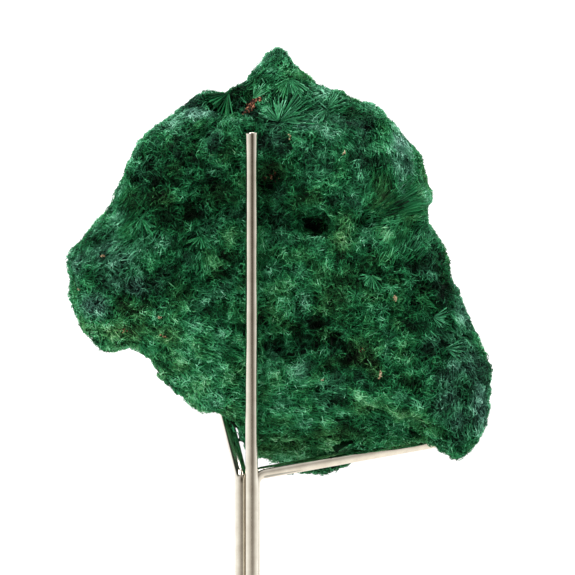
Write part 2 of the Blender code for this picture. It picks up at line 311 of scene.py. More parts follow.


# tones of the stone
# Soft parts of the front that differ: X, Z, half width, half height, tone, tint with painted sheen.
# Besides the stone's own colour they hold painted shade in hollows and gaps, and painted light
frontTones = (
    # upper left lobe and its edge
    (-18, 112, 15, 13, -0.12, 0.00),
    (-26, 114, 3.5, 4.0, -0.12, 0.10),
    (-20.5, 113, 2.5, 3.0, -0.14, 0.00),
    (-25, 107, 4.0, 3.0, -0.16, 0.00),
    (-18, 103.5, 6.0, 2.4, -0.18, 0.00),
    (-16, 118, 3.0, 3.4, -0.10, 0.00),
    (-6, 111, 2.4, 3.0, -0.12, 0.00),
    (-9, 106, 5, 7, -0.10, 0.00),  # valley beside it, darker as painted shade
    (-9, 103.6, 2.2, 1.5, 0.12, 0.00),
    (-9.5, 115, 2.0, 2.0, 0.10, 0.00),
    (-8.0, 120.4, 2.6, 2.6, -0.16, 0.35),
    (-12, 128.6, 6.0, 2.0, 0.16, 0.40),  # painted bluish sheen at its top, where light falls from above
    (-13, 127.6, 2.6, 1.4, 0.24, 0.35),
    (-20, 125.6, 3.4, 2.0, 0.24, 0.30),
    (-3.8, 126.2, 4.0, 1.2, 0.26, 0.05),
    (-28, 118, 2.2, 4.0, 0.12, 0.15),
    (-32, 107, 2.0, 5.0, 0.18, 0.20),
    (-15.6, 131.0, 3.8, 2.4, -0.46, 0.40),  # crust on the edge
    (-23.8, 121.3, 1.8, 2.4, 0.22, 0.10),
    (-17.2, 114.2, 1.6, 2.0, 0.18, 0.00),
    (-8.0, 117.0, 2.6, 2.4, 0.20, 0.00),
    (-4.6, 113.0, 2.8, 2.4, 0.18, 0.00),
    (-29.5, 104.4, 2.2, 2.2, -0.30, 0.10),
    (-7, 133.2, 5.0, 1.5, -0.16, 0.00),
    # horn and sprays
    (5, 141, 3.0, 3.0, 0.08, 0.20),
    (2.6, 137.5, 1.8, 1.6, -0.12, 0.00),
    (9.5, 138.3, 3.0, 1.3, 0.22, 0.00),
    (13.5, 138, 3.2, 2.2, -0.04, -0.40),  # crust
    (3.0, 132.2, 1.9, 2.6, 0.42, 0.00),
    (16.5, 131.2, 1.8, 1.4, 0.22, 0.00),
    (15.5, 125.0, 3.4, 1.6, 0.20, 0.10),
    (18.5, 120.4, 2.0, 1.4, -0.18, 0.00),
    (10, 129, 10, 8, 0.00, 0.20),
    (8.5, 129.5, 3.0, 2.2, -0.16, 0.00),
    (1.3, 127.8, 2.2, 2.2, -0.20, 0.30),  # dark round nubs
    (5.0, 122.0, 4.6, 4.6, -0.28, 0.20),
    (14, 122.5, 1.8, 2.0, -0.12, 0.00),
    (18.5, 133.4, 3.0, 1.6, 0.32, 0.10),
    (20.5, 124, 4.0, 2.6, 0.26, 0.25),
    (-4, 132, 5, 3.6, -0.20, 0.00),  # fan of blades
    (0.6, 130.6, 3.0, 3.0, -0.28, 0.00),  # painted shade in the cavity with iron oxide
    # upper right lobe
    (22, 115, 10, 7, 0.02, 0.25),
    (26, 125.6, 3.8, 3.8, -0.32, 0.10),  # dark knob
    (31.8, 127.2, 1.8, 1.6, 0.12, 0.00),
    (33.0, 120.8, 2.0, 2.0, -0.14, 0.00),
    (32.6, 111.4, 2.8, 4.4, -0.34, -0.40),  # painted shade, browner, in the gap beside the painted sheen
    (22.0, 107.6, 1.6, 2.2, 0.14, 0.00),
    (22.5, 117.2, 3.0, 1.2, 0.16, 0.00),
    (31, 129, 3.0, 2.5, 0.20, 0.15),
    (35, 122, 2.6, 4.4, 0.18, 0.25),
    (37.4, 116.6, 2.6, 7, 0.08, 0.60),  # painted grey sheen
    (32, 120, 3.0, 2.6, 0.14, 0.10),
    (30.0, 116.4, 4.0, 1.5, -0.14, 0.10),
    (25, 107, 3.0, 2.2, -0.12, 0.35),
    (12.5, 110, 2.2, 2.0, -0.18, 0.20),
    (19, 108, 1.6, 3.0, -0.08, 0.00),
    # middle
    (5, 104, 9, 4, -0.18, 0.20),  # painted shade in the valley under the lobes
    (5.5, 113, 4.2, 3.2, -0.22, -0.30),  # painted shade in a cavity, with a brown stain
    (36, 106, 9, 4.4, -0.07, -0.05),  # columns
    (38.4, 97.2, 3.6, 3.0, -0.22, 0.05),
    (26.0, 100.0, 2.2, 1.8, 0.12, -0.05),
    (-5.4, 98.6, 4.6, 1.8, 0.34, 0.00),
    (8.0, 86.4, 7.0, 2.0, 0.16, -0.05),
    (13.2, 83.0, 1.8, 2.6, 0.18, 0.00),
    (31, 100.0, 4.6, 2.8, 0.20, -0.05),
    (43, 108.5, 1.8, 2.6, 0.22, 0.00),
    (43, 103.0, 2.0, 1.6, 0.18, 0.10),
    (16, 101.2, 2.1, 2.0, -0.50, 0.00),  # painted shade in a round pit
    (27.6, 102.3, 0.7, 1.4, -0.45, 0.00),  # painted shade in a slot
    (23, 94, 18, 8, 0.05, 0.00),  # bright plateau
    (25, 98.5, 6.0, 2.0, 0.10, -0.10),
    (19, 97, 6, 3, 0.02, -0.20),
    (4, 94.4, 2.6, 1.8, 0.14, -0.05),
    (23, 93.0, 3.0, 2.4, -0.26, 0.00),
    (36, 91.0, 6.0, 2.6, -0.22, 0.00),
    (37.0, 87.4, 7.0, 1.4, -0.20, 0.00),
    (42.6, 77.0, 2.4, 3.2, -0.24, 0.00),
    (26.4, 79.2, 1.4, 2.2, 0.16, 0.00),
    (27, 87.5, 4.6, 2.6, -0.24, 0.00),
    (44, 92, 3.0, 3.4, -0.18, 0.20),
    (46, 84, 3.2, 5.0, -0.22, 0.05),
    (6, 84, 6.5, 5.0, 0.09, -0.05),
    (34, 84, 8, 6, -0.04, 0.00),  # darker field of stars
    (36.4, 82.4, 3.0, 1.8, 0.22, 0.00),
    (39.5, 77, 2.4, 1.8, -0.16, 0.00),
    (15, 77, 4.0, 2.0, -0.12, 0.00),
    (22, 80, 1.8, 2.2, -0.10, 0.00),
    # left side
    (-35, 92, 9, 8, 0.00, 0.30),  # greyish lobe
    (-39, 89, 3.0, 2.2, -0.14, 0.00),
    (-38.5, 96.2, 5.0, 1.6, -0.22, 0.00),
    (-29, 89.2, 2.0, 1.6, 0.14, 0.00),
    (-22, 99.0, 1.8, 2.0, 0.12, 0.00),
    (-20.6, 83.2, 2.2, 1.6, -0.22, 0.00),
    (-17.4, 77.4, 1.5, 2.0, 0.22, 0.00),
    (-11.5, 83.6, 3.0, 2.2, 0.12, 0.00),
    (-9.2, 73.0, 2.2, 1.4, -0.16, 0.00),
    (-13.0, 66.2, 3.2, 1.4, -0.22, 0.00),
    (-11.0, 60.4, 4.0, 3.2, 0.32, 0.00),
    (-3.0, 59.4, 2.2, 1.6, 0.26, 0.00),
    (-33, 101, 1.8, 4.5, 0.14, 0.20),
    (-30, 93.6, 2.0, 1.5, 0.12, 0.10),
    (-23, 96.5, 3.2, 6.5, 0.16, 0.20),  # light streaks
    (-17, 93, 3.6, 6.0, -0.12, 0.15),
    (-27, 86.6, 7.0, 2.8, -0.18, 0.60),  # dark grey dips
    (-37, 82, 3.4, 3.4, -0.10, 0.80),
    (-42, 81, 2.0, 4.4, 0.14, 0.05),
    (-36, 76, 7.0, 2.6, 0.20, -0.15),
    (-24, 79.5, 5.0, 1.4, 0.12, -0.20),
    (-26, 75, 7.0, 2.4, 0.00, -0.35),
    (-4, 94, 3.4, 1.6, -0.24, 0.00),
    (-5.5, 88, 2.3, 3.0, -0.16, 0.00),
    (-9, 80.2, 4.5, 2.2, -0.22, 0.00),
    (-12, 99, 3.0, 2.0, -0.10, 0.00),
    (-11, 91, 3.0, 1.6, 0.08, 0.00),
    (-14, 71, 15, 10, 0.12, 0.02),  # lower left shoulder
    (-14, 65.5, 6.0, 5.0, 0.12, 0.00),
    (-21, 68, 2.0, 1.6, -0.14, 0.00),
    # hollow and the bulge under it
    (12, 72, 9, 4.5, -0.04, 0.10),
    (16.5, 77.4, 2.6, 1.5, -0.36, 0.00),
    (21, 73.9, 1.7, 1.7, -0.34, -0.10),
    (5.4, 72, 2.2, 1.5, -0.22, 0.10),
    (25.0, 70.2, 4.2, 3.4, -0.22, -0.25),
    (19, 67.6, 4.0, 2.0, -0.22, -0.10),
    (30, 66, 2.2, 4.0, -0.18, -0.35),
    (22.5, 59.6, 3.2, 2.2, -0.22, 0.00),
    (27, 57.5, 3.0, 1.2, -0.14, 0.00),
    (38, 63.6, 3.2, 1.2, -0.18, 0.00),
    (24, 52.4, 3.2, 2.2, -0.26, 0.00),
    (6.5, 55.5, 2.2, 2.0, -0.08, 0.00),
    (4.5, 65, 5.0, 5.0, 0.14, 0.00),
    (11.0, 66.0, 3.6, 2.6, 0.32, 0.15),  # pale band under the hollow
    (16.5, 63.2, 2.6, 1.4, 0.14, 0.10),
    (13.0, 60.0, 2.0, 1.8, -0.28, 0.00),
    (22.0, 71.8, 6.0, 1.3, -0.20, 0.00),
    (6.5, 69.0, 1.8, 1.1, -0.22, 0.00),
    (30.8, 61.2, 1.8, 1.6, -0.18, 0.00),
    (24.0, 50.6, 4.4, 1.2, -0.18, 0.00),
    (35.0, 50.2, 3.6, 1.4, 0.26, 0.00),
    (30.0, 46.4, 3.0, 1.6, -0.16, 0.00),
    (36, 68.6, 6.0, 2.6, 0.16, 0.00),
    (29.5, 59.4, 6, 1.6, 0.16, 0.15),  # light ledge
    (40.0, 55.0, 3.6, 4.0, 0.14, 0.00),
    # lighter at the bottom: painted light from the pale table below, on the underside
    (10, 53, 24, 8, 0.08, 0.00),
    (9.8, 44.8, 4.0, 2.0, 0.42, 0.10),
    (21.5, 46.6, 5.0, 1.8, 0.42, 0.10),
    # right side
    (47, 86, 5, 10, -0.06, 0.15),
    (51.3, 80, 1.8, 4.4, 0.18, 0.35),
    (45, 71, 4, 6, -0.12, 0.10),  # dark band above the hanging lobe
    (52, 60, 7, 13, -0.04, 0.50),  # hanging lobe
    (50.5, 54.5, 2.8, 2.4, -0.08, 0.10),
    (49.8, 59.8, 2.2, 2.4, -0.30, 0.00),
    (50.5, 64.2, 4.0, 2.0, -0.16, 0.00),
    (57.8, 66.4, 2.0, 4.0, -0.26, 0.00),
    (51, 49.6, 2.8, 1.8, -0.08, 0.10),
    (56, 57, 2.4, 7, 0.12, 0.30),
)
toneRules = {
    "middle": 0.585,
    "clouds": (  # size in mm, depth of tone, and offset, which keeps each noise apart
        (5.2, 0.18, (0, 0, 0)),
        (2.5, 0.28, (9, 4, 2)),
        (1.1, 0.16, (1, 8, 6)),
    ),
    "tintAndSheenMiddle": -0.04,
    "tintAndSheenCloud": (5.0, 0.50, (3, 17, 5)),
    "upwardSheen": 0.16,  # painted sheen: more grey on faces that look up, where light falls from above
    "cleft": 0.30,  # painted shade: darker in the clefts
    "rim": 0.14,  # painted rim light: lighter where the stone turns away from the front and the back
    "frontTo": 0.6,  # the soft parts fade out as a normal's Y nears this
}
relief = {
    "clump": 4.2,  # mm across a clump of fibres
    "bent": 0.9, "bentSize": 3.1,  # mm that the clumps' borders are bent by, and over what size
    "cleftWidth": 0.17,
    "cleftDepth": 1.5,
    "pit": (1.7, (2, 31, 11)), "pitFrom": 0.14, "pitTo": 0.42,  # small pits all over
    "swell": (2.3, (7, 1, 3)), "swellHeight": 0.45,
}


def noiseAt(points, size, offset=(0, 0, 0)):
    # soft noise at points in mm, which changes over a size in mm
    offset = Vector(offset)
    return np.array([noise.noise(Vector(point) / size + offset) for point in points])


def cleftsAt(points):
    # how much each point, in mm, lies in a cleft between clumps, from 0 to 1
    found = np.empty(len(points))
    pits = noiseAt(points, *relief["pit"])
    pits = (pits - relief["pitFrom"]) / (relief["pitTo"] - relief["pitFrom"])
    for row, point in enumerate(points):
        spot = Vector(point)
        spot += relief["bent"] * noise.noise_vector(spot / relief["bentSize"])
        near = noise.voronoi(spot / relief["clump"])[0]
        found[row] = max(math.exp((near[0] - near[1]) / relief["cleftWidth"]), min(pits[row], 1))
    return np.clip(found, 0, 1)


def reliefAt(points, clefts):
    # mm that the stone stands out of its smooth form
    swell = noiseAt(points, *relief["swell"])
    return relief["swellHeight"] * swell - relief["cleftDepth"] * clefts


def nearness(points, formX, formZ, width, height):
    # 1 in the middle of an oval part of the front, and almost 0 a little past its edge
    away = ((points[:, 0] - formX) / width) ** 2 + ((points[:, 2] - formZ) / height) ** 2
    return np.exp(-(away ** 1.5))


def tonesAt(points, normals, clefts):
    # tone and tint of the stone at points in mm, with painted shade in clefts, painted rim light and
    # painted sheen on faces that look up
    rules = toneRules
    facing = np.clip(rules["frontTo"] - normals[:, 1], 0, 1)
    tone = rules["middle"] - rules["cleft"] * clefts
    tone += rules["rim"] * (1 - np.abs(normals[:, 1])) ** 3
    tintAndSheen = np.full(len(points), rules["tintAndSheenMiddle"])
    for *form, toneShift, tintAndSheenShift in frontTones:
        near = nearness(points, *form) * facing
        tone += toneShift * near
        tintAndSheen += tintAndSheenShift * near
    for size, depth, offset in rules["clouds"]:
        tone += depth * noiseAt(points, size, offset)
    size, depth, offset = rules["tintAndSheenCloud"]
    tintAndSheen += depth * noiseAt(points, size, offset)
    tintAndSheen += rules["upwardSheen"] * normals[:, 2]
    return tone, tintAndSheen


# ground of the stone
ground = {
    "weld": 0.00001,
    "cuts": 3,
    "smoothing": 3,
    "sink": 1.15,  # mm under the tips of the fibres
    # lumps raise the ground and, as painted light and shade, lighten it where they rise and darken it
    # where they dip
    "lump": 0.9, "lumpHeight": 0.3, "lumpShading": 0.12,
    "groundShade": 0.34,  # painted shade: the ground under the fibres is darker than the fibres on it
    "tintAndSheenShare": 0.2,
    "spread": 0.004,  # least width of a face on the palette
}


def readVectors(things, name):
    values = np.empty(len(things) * 3)
    things.foreach_get(name, values)
    return values.reshape(-1, 3)


def makeGround():
    bm = bmesh.new()
    bm.from_mesh(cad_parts["malachite"].data)
    bmesh.ops.remove_doubles(bm, verts=bm.verts, dist=ground["weld"])
    solid = BVHTree.FromBMesh(bm)
    bm.normal_update()
    corners = np.array([[vert.co for vert in face.verts] for face in bm.faces]) / mm
    normals = np.array([[vert.normal for vert in face.verts] for face in bm.faces])
    bmesh.ops.subdivide_edges(bm, edges=bm.edges, cuts=ground["cuts"], use_grid_fill=True)
    for _ in range(ground["smoothing"]):
        bmesh.ops.smooth_vert(
            bm, verts=bm.verts, factor=0.5, use_axis_x=True, use_axis_y=True, use_axis_z=True)
    bmesh.ops.triangulate(bm, faces=bm.faces)
    mesh = meshFrom(bm, "malachite_ground")
    points = readVectors(mesh.vertices, "co") / mm
    outward = readVectors(mesh.vertices, "normal")
    lumps = noiseAt(points, ground["lump"])
    clefts = cleftsAt(points)
    rise = reliefAt(points, clefts)
    points += outward * (rise + ground["lumpHeight"] * lumps - ground["sink"])[:, None]
    mesh.vertices.foreach_set("co", (points * mm).ravel())
    mesh.update()
    tone, tintAndSheen = tonesAt(points, outward, clefts)
    tone += ground["lumpShading"] * lumps - ground["groundShade"]
    layer = mesh.uv_layers.new(name="OFBake")
    corner = np.empty(len(mesh.loops), int)
    mesh.loops.foreach_get("vertex_index", corner)
    places = np.stack(onPalette(tone[corner], ground["tintAndSheenShare"] * tintAndSheen[corner]), 1)
    places[1::3, 0] += ground["spread"]
    places[2::3, 1] += ground["spread"]
    layer.uv.foreach_set("vector", places.astype(np.float32).ravel())
    addPiece("malachite_ground", mesh, green, "malachite")
    return solid, corners, normals


solid, solidCorners, solidNormals = makeGround()
print("ground of the stone ready")


# where fibres grow
growth = {
    "ray": 1.35,  # mm between the lines that look for the surface
    "rayStart": 5,  # mm before the stone
    "crossings": 12, "past": 0.00002,  # most places on a line, and m between one and the next look
    "apart": (1.25, 2.0),  # mm between bundles
    "radius": (1.2, 2.9),
    "patch": 6.0, "patchOffset": (5, 5, 8),  # mm across a patch of larger or smaller bundles
    "sizeStray": 0.25,
    "perBundle": (8, 18),
    "rearShare": 0.6, "rearFrom": 0.3,  # fewer fibres behind, where a normal's Y is over this
}


def crossings(start, direction):
    # every place where a line goes through the stone's surface, with its normal
    found = []
    while len(found) < growth["crossings"]:
        place, normal, _, _ = solid.ray_cast(start, direction)
        if place is None:
            break
        found.append((place / mm, normal))
        start = place + direction * growth["past"]
    return found


def lookForSurface():
    low, high = (np.array(corner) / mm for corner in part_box("malachite"))
    found = []
    for axis in (1, 0, 2):
        others = [n for n in range(3) if n != axis]
        direction = Vector([float(n == axis) for n in range(3)])
        steps = [np.arange(low[n], high[n], growth["ray"]) for n in others]
        for one in steps[0]:
            for other in steps[1]:
                start = np.empty(3)
                start[axis] = low[axis] - growth["rayStart"]
                start[others] = (one, other)
                start[others] += draw.uniform(-0.5, 0.5, 2) * growth["ray"]
                found += crossings(Vector(start * mm), direction)
    return found


def thinOut(found):
    # keeps places apart by a distance that changes over the stone
    kept, cells = [], {}
    order = draw.permutation(len(found))
    least, most = growth["apart"]
    stray = growth["sizeStray"]
    for row in order:
        place, normal = found[row]
        patch = 0.5 + noise.noise(place / growth["patch"] + Vector(growth["patchOffset"]))
        size = min(max(patch + draw.uniform(-stray, stray), 0), 1)
        apart = least + size * (most - least)
        home = [int(math.floor(value / most)) for value in place]
        near = (
            cells.get((home[0] + i, home[1] + j, home[2] + k), ())
            for i in (-1, 0, 1) for j in (-1, 0, 1) for k in (-1, 0, 1))
        if all((place - kept[n][0]).length > apart for group in near for n in group):
            cells.setdefault(tuple(home), []).append(len(kept))
            kept.append((place, normal, size))
    return kept


bundles = thinOut(lookForSurface())
print("bundles of fibres:", len(bundles))


# fibres
class Fibres:
    # many straight fibres: roots, tips, widths at the root, tones, tints with painted sheen, how much
    # the roots are darkened as painted shade, and the tip's width as a share of the root's

    def __init__(self):
        self.rows = []

    def add(self, roots, tips, widths, tone, tintAndSheen, rootShade, narrowing=0.8):
        count = len(roots)
        columns = (roots, tips, widths, tone, tintAndSheen, rootShade, narrowing)
        shaped = [np.broadcast_to(np.asarray(c, float), (count,)) if np.ndim(c) < 2 else c
                  for c in columns]
        self.rows.append(np.column_stack(shaped))

    def addVaried(self, look, roots, tips, widths, tone, tintAndSheen, narrowing=0.8):
        tone = tone + draw.normal(0, look["toneSpread"], len(roots))
        tintAndSheen = tintAndSheen + draw.normal(0, look["tintAndSheenSpread"], len(roots))
        self.add(roots, tips, widths, tone, tintAndSheen, look["rootShade"], narrowing)

    def table(self):
        return np.concatenate(self.rows)


fibres = Fibres()
bundleLook = {
    "lean": 0.35,  # how far a bundle leans off the surface's normal
    "flatness": 1.7,  # above 1, more of its fibres lie near the surface
    "radiusStray": (0.8, 1.25), "rootSpread": 0.16, "length": (0.6, 1.15),  # shares of its radius
    "cleftFewer": 0.55, "cleftSmaller": 0.35,  # what a cleft takes off its fibres and its radius
    "depth": 0.45, "depthByRadius": 0.20,  # mm below the surface where it starts
    "proud": 0.2,  # mm that a tip may stand out
    "rootShade": 0.24,  # painted shade: how much darker a fibre is at its root
    "width": (0.11, 0.25),
    "toneSpread": 0.17,
    "tintAndSheenSpread": 0.12,
}


def unit(vectors):
    return vectors / np.linalg.norm(vectors, axis=1)[:, None]


def sideways(directions):
    # two directions square to each one
    helper = np.where(np.abs(directions[:, :1]) < 0.7, [[1.0, 0, 0]], [[0, 1.0, 0]])
    one = unit(np.cross(directions, helper))
    return one, np.cross(directions, one)


def growBundles():
    look = bundleLook
    places = np.array([place for place, _, _ in bundles])
    normals = np.array([normal for _, normal, _ in bundles])
    size = np.array([amount for _, _, amount in bundles])
    clefts = cleftsAt(places)
    rise = reliefAt(places, clefts)
    tone, tintAndSheen = tonesAt(places, normals, clefts)
    low, high = growth["perBundle"]
    share = np.where(normals[:, 1] > growth["rearFrom"], growth["rearShare"], 1.0)
    counts = (low + size * (high - low)) * share * (1 - look["cleftFewer"] * clefts)
    counts = counts.astype(int)
    owner = np.repeat(np.arange(len(bundles)), counts)
    total = len(owner)
    lean = draw.normal(0, look["lean"], (len(bundles), 3))
    axes = unit(normals + lean)[owner]
    radius = growth["radius"][0] + size * (growth["radius"][1] - growth["radius"][0])
    radius = radius * draw.uniform(*look["radiusStray"], len(bundles))
    radius = radius * (1 - look["cleftSmaller"] * clefts)
    one, other = sideways(axes)
    turn = draw.uniform(0, 2 * math.pi, total)
    up = draw.uniform(0, 1, total) ** look["flatness"]
    level = np.sqrt(1 - up ** 2)
    heading = axes * up[:, None]
    heading += one * (level * np.cos(turn))[:, None] + other * (level * np.sin(turn))[:, None]
    depth = look["depth"] + look["depthByRadius"] * radius - rise
    roots = places[owner] - normals[owner] * depth[owner][:, None]
    roots += draw.normal(0, look["rootSpread"], (total, 3)) * radius[owner][:, None]
    length = radius[owner] * draw.uniform(*look["length"], total)
    tips = roots + unit(heading) * length[:, None]
    pullIn(tips, rise[owner] + look["proud"] * draw.uniform(0, 1, total))
    widths = draw.uniform(*look["width"], total)
    fibres.addVaried(look, roots, tips, widths, tone[owner], tintAndSheen[owner])


def pullIn(tips, most):
    # brings tips back that stand out of the solid by more than they may
    for row, tip in enumerate(tips):
        place, normal, _, _ = solid.find_nearest(Vector(tip * mm))
        height = (Vector(tip) - place / mm).dot(normal)
        if height > most[row]:
            tips[row] -= np.array(normal) * (height - most[row])


growBundles()
print("bundles grown")


# felt that lies along the stone
# each layer's tone rises with its height: painted shade low down and painted light on top
feltLayers = (
    {  # deep and dark, in painted shade
        "density": 2.6, "pieces": 1, "length": (1.3, 2.3), "bend": 0,
        "width": (0.26, 0.42), "height": (-0.62, -0.22), "tone": -0.15, "rootShade": 0.06,
    },
    {
        "density": 3.4, "pieces": 1, "length": (0.9, 1.8), "bend": 0,
        "width": (0.20, 0.32), "height": (-0.28, 0.1), "tone": -0.03, "rootShade": 0.08,
    },
    {  # curved strands on top
        "density": 1.75, "pieces": 3, "length": (0.40, 0.80), "bend": 26,
        "width": (0.15, 0.27), "height": (-0.05, 0.3), "tone": 0.06, "rootShade": 0.02,
    },
)
felt = {
    "rearShare": 0.45,
    "swirl": 5.0, "swirlShare": 1.3,  # mm between turns of its lie, and how strongly it keeps to them
    "stray": 0.45,
    "flowStray": 0.10,
    # where it is combed it is longer, straighter, calmer in tone and lower
    "combedLength": 1.1, "combedStraight": 0.9, "combedCalm": 0.5, "combedSink": 0.35,
    "toneSpread": 0.10, "tintAndSheenSpread": 0.08,
    "sprayShade": 0.16, "underSink": 0.5, "underShare": 0.85,  # painted shade under a spray, where the felt also lies lower
    "frontTo": 0.2,  # a place is in front where its normal's Y is under this
}
# Parts of the front where the fibres run one way: X and Z that they come from, then X, Z,
# half width and half height of the part, and how strictly they keep to it
flows = (
    (27.0, 101.0, 38.0, 107.0, 9.5, 5.5, 1.00),  # fan of columns to the right edge
    (24.0, 78.0, 38.5, 98.2, 6.5, 4.6, 0.90),  # slanting, under the notch
    (33.0, 90.0, 47.0, 79.0, 6.0, 9.0, 0.65),  # right edge
    (35.0, 136.0, 35.5, 116.0, 5.0, 9.0, 0.80),  # grey sheen at the right
    (19.0, 129.0, 22.0, 126.0, 5.0, 7.0, 0.70),  # tufts right of the large spray
    (7.6, 125.9, 12.0, 129.0, 9.0, 6.0, 0.75),  # round the large spray
    (9.7, 137.3, 8.0, 134.5, 6.0, 4.0, 0.75),
    (-12.0, 120.0, 4.5, 139.5, 6.0, 5.0, 0.65),  # horn
    (0.0, 140.0, -13.0, 128.0, 8.0, 4.0, 0.60),  # top left
    (-10.0, 122.0, -29.5, 103.5, 5.0, 7.0, 0.75),  # left shoulder
    (-12.0, 110.0, -34.0, 96.0, 8.0, 5.0, 0.65),
    (-12.0, 101.0, -12.0, 96.0, 6.0, 5.0, 0.60),
    (-50.0, 92.0, -14.0, 71.0, 15.0, 10.0, 0.60),  # lower left shoulder
    (-30.0, 66.0, 12.0, 56.0, 20.0, 9.0, 0.60),  # lower bulge
    (12.0, 68.0, 32.0, 58.0, 9.0, 4.0, 0.65),  # light ledge
    (50.0, 78.0, 53.0, 58.0, 6.0, 12.0, 0.55),  # hanging lobe
)


def spreadPlaces(density):
    # random places on the stone with its normals there
    one, other = solidCorners[:, 1] - solidCorners[:, 0], solidCorners[:, 2] - solidCorners[:, 0]
    areas = np.linalg.norm(np.cross(one, other), axis=1) / 2
    behind = solidNormals[:, :, 1].mean(1) > growth["rearFrom"]
    weights = areas * density * np.where(behind, felt["rearShare"], 1.0)
    count = int(weights.sum())
    face = draw.choice(len(weights), count, p=weights / weights.sum())
    shares = draw.dirichlet((1, 1, 1), count)[:, :, None]
    return (solidCorners[face] * shares).sum(1), unit((solidNormals[face] * shares).sum(1))


def headingsAt(places, normals):
    # the ways along the surface that the felt takes, and how well it is combed there
    swirls = np.array([noise.noise_vector(Vector(p) / felt["swirl"]) for p in places])
    headings = felt["swirlShare"] * swirls + draw.normal(0, felt["stray"], places.shape)
    combed = np.zeros((len(places), 1))
    for fromX, fromZ, *form, strictness in flows:
        taken = draw.uniform(0, 1, len(places)) < strictness * nearness(places, *form)
        taken &= normals[:, 1] < felt["frontTo"]
        run = unit((places * (1, 0, 1) - (fromX, 0, fromZ))[taken])
        headings[taken] = run + draw.normal(0, felt["flowStray"], run.shape)
        combed[taken] = strictness ** 3
    headings -= (headings * normals).sum(1)[:, None] * normals
    return unit(headings), combed


def settle(points, heights):
    # brings points to their heights over the solid
    settled = np.empty_like(points)
    for row, point in enumerate(points):
        place, normal, _, _ = solid.find_nearest(Vector(point * mm))
        settled[row] = place / mm + normal * heights[row]
    return settled


def underSprays(places, normals):
    # which places lie under a spray
    under = np.zeros(len(places), bool)
    for x, z, reach, first, last, *_ in (bladeFan, *sprays):
        across, up = places[:, 0] - x, places[:, 2] - z
        inside = (np.degrees(np.arctan2(up, across)) - first) % 360 < last - first
        under |= inside & (np.hypot(across, up) < felt["underShare"] * reach)
    return under & (normals[:, 1] < felt["frontTo"])


def growFelt(layer):
    places, normals = spreadPlaces(layer["density"])
    count = len(places)
    under = underSprays(places, normals)
    ownHeight = draw.uniform(*layer["height"], count) - felt["underSink"] * under
    ownTone = layer["tone"] + draw.normal(0, felt["toneSpread"], count) - felt["sprayShade"] * under
    ownTintAndSheen = draw.normal(0, felt["tintAndSheenSpread"], count)
    headings, combed = headingsAt(places, normals)
    ownHeight -= felt["combedSink"] * combed[:, 0]
    lengths = draw.uniform(*layer["length"], count)[:, None] * (1 + felt["combedLength"] * combed)
    bend = np.radians(draw.normal(0, layer["bend"], count))[:, None]
    bend = bend * (1 - felt["combedStraight"] * combed)
    ownTone *= 1 - felt["combedCalm"] * combed[:, 0]
    widths = draw.uniform(*layer["width"], count)
    here = places - headings * lengths * layer["pieces"] / 2
    here = settle(here, reliefAt(here, cleftsAt(here)) + ownHeight)
    for _ in range(layer["pieces"]):
        there = here + headings * lengths
        clefts = cleftsAt(there) * (1 - combed[:, 0])
        tone, tintAndSheen = tonesAt(there, normals, clefts)
        there = settle(there, reliefAt(there, clefts) + ownHeight)
        fibres.add(here, there, widths, tone + ownTone, tintAndSheen + ownTintAndSheen, layer["rootShade"])
        headings = headings * np.cos(bend) + np.cross(normals, headings) * np.sin(bend)
        here = there
    print("strands of felt:", count)


# sprays that lie on the front: X, Z, reach, first and last angle in degrees, number of rays, width,
# tone, tint with painted sheen, and how far the middle and the tips stand off the surface
sprays = (
    (7.2, 126.2, 9.6, -8, 60, 16, 0.17, 0.60, 0.15, -0.1, 0.4),  # large spray
    (7.2, 126.2, 7.2, 64, 112, 8, 0.20, 0.70, 0.10, -0.1, 0.5),
    (7.2, 126.2, 5.0, 114, 165, 7, 0.18, 0.56, 0.15, -0.1, 0.3),
    (9.7, 137.0, 5.4, 200, 262, 12, 0.17, 0.66, -0.05, -0.1, 0.3),  # spray above it
    (9.7, 137.0, 6.4, 264, 336, 13, 0.17, 0.64, 0.10, -0.1, 0.4),
    (0.8, 131.8, 5.4, 22, 84, 12, 0.18, 0.74, 0.00, -0.1, 0.4),  # beside the iron oxide
    (18.9, 129.3, 5.6, 12, 78, 12, 0.18, 0.62, 0.15, -0.1, 0.3),
    (18.9, 129.3, 4.0, 190, 260, 8, 0.18, 0.54, 0.20, -0.1, 0.3),
    (29.5, 89.1, 3.6, 165, 350, 17, 0.17, 0.66, 0.05, 0.0, 0.5),  # star
    (34.3, 86.6, 2.5, 160, 380, 12, 0.24, 0.66, 0.10, 0.0, 0.4),
    (32.4, 81.0, 2.2, 0, 360, 14, 0.23, 0.60, 0.10, 0.0, 0.4),
    (38.6, 88.0, 2.2, 150, 390, 12, 0.23, 0.58, 0.10, 0.0, 0.4),
    (25.6, 84.4, 2.0, 0, 360, 13, 0.22, 0.60, 0.00, 0.0, 0.4),
    (-26.0, 103.0, 5.2, 215, 330, 12, 0.26, 0.58, 0.05, -0.1, 0.3),  # left valley
    (-11.5, 98.5, 4.0, 190, 350, 14, 0.23, 0.54, 0.05, -0.1, 0.3),
    (44.5, 79.0, 4.6, -60, 40, 10, 0.25, 0.58, 0.25, -0.1, 0.3),  # right edge
    (47.5, 71.5, 5.0, -50, 40, 10, 0.25, 0.54, 0.25, -0.1, 0.3),
)
sprayLook = {
    "rayStray": 0.3, "rayReach": (0.65, 1.0),  # shares of the step between rays, and of the reach
    "perRay": 6,
    "stray": 1.6,  # degrees off the ray
    "start": (0.05, 0.75), "end": (0.45, 1.1),  # shares of the reach where its fibres start and end
    "rootShare": 0.7, "widthStray": (0.7, 1.2),  # a ray starts narrow
    "rootSpread": 0.08, "tipRise": (-0.3, 1.0),
    "between": 3,  # dim thin fibres to each ray, shorter and lower, and darker as painted shade
    "dimShade": -0.30, "dimWidth": 0.9, "dimReach": 0.9, "dimRootSink": 0.2, "dimTipSink": 0.3,
    "toneSpread": 0.13, "tintAndSheenSpread": 0.10,
    "rootShade": 0.10,
}
